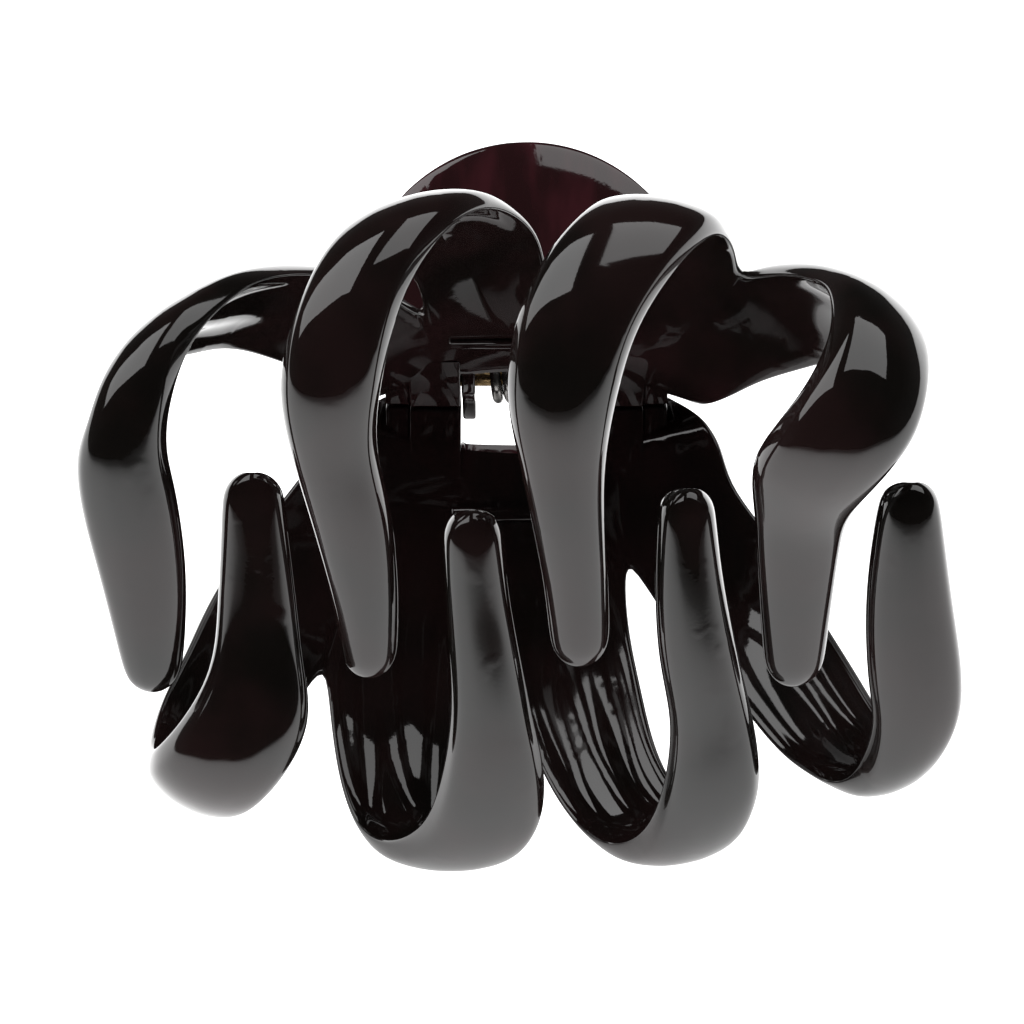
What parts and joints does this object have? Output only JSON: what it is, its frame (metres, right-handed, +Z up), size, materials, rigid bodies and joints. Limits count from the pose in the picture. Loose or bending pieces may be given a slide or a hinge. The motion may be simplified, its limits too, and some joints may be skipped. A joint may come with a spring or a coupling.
{
  "type": "octopus hair clip",
  "caption": "Moulded claw hair clip whose two jaws of curved tentacle arms interleave, with round thumb tabs on a sprung hinge.",
  "frame": {"origin": "centre of the bounding box on the surface that the clip lies on", "axes": "+X across the clip along the hinge pin, +Y back from the arms to the thumb tabs, +Z up"},
  "size_m": [0.0872, 0.0794, 0.072],
  "materials": {
    "clip_plastic": "polished, almost black burgundy",
    "pin_metal": "bright drawn wire",
    "spring_metal": "drawn wire"
  },
  "bodies": {
    "lower": {"jaw_lower": "clip_plastic", "hinge_pin": "pin_metal", "torsion_spring": "spring_metal"},
    "upper": {"jaw_upper": "clip_plastic"}
  },
  "joints": [
    {"name": "hinge", "type": "hinge", "parent": "lower", "child": "upper", "pos_m": [0, 0.01936, 0.02639], "axis": [-1, 0, 0], "range_deg": [0, 70], "stiffness_Nm_per_rad": 0.08, "springref_deg": -68.75, "deforming": ["torsion_spring"]}
  ]
}
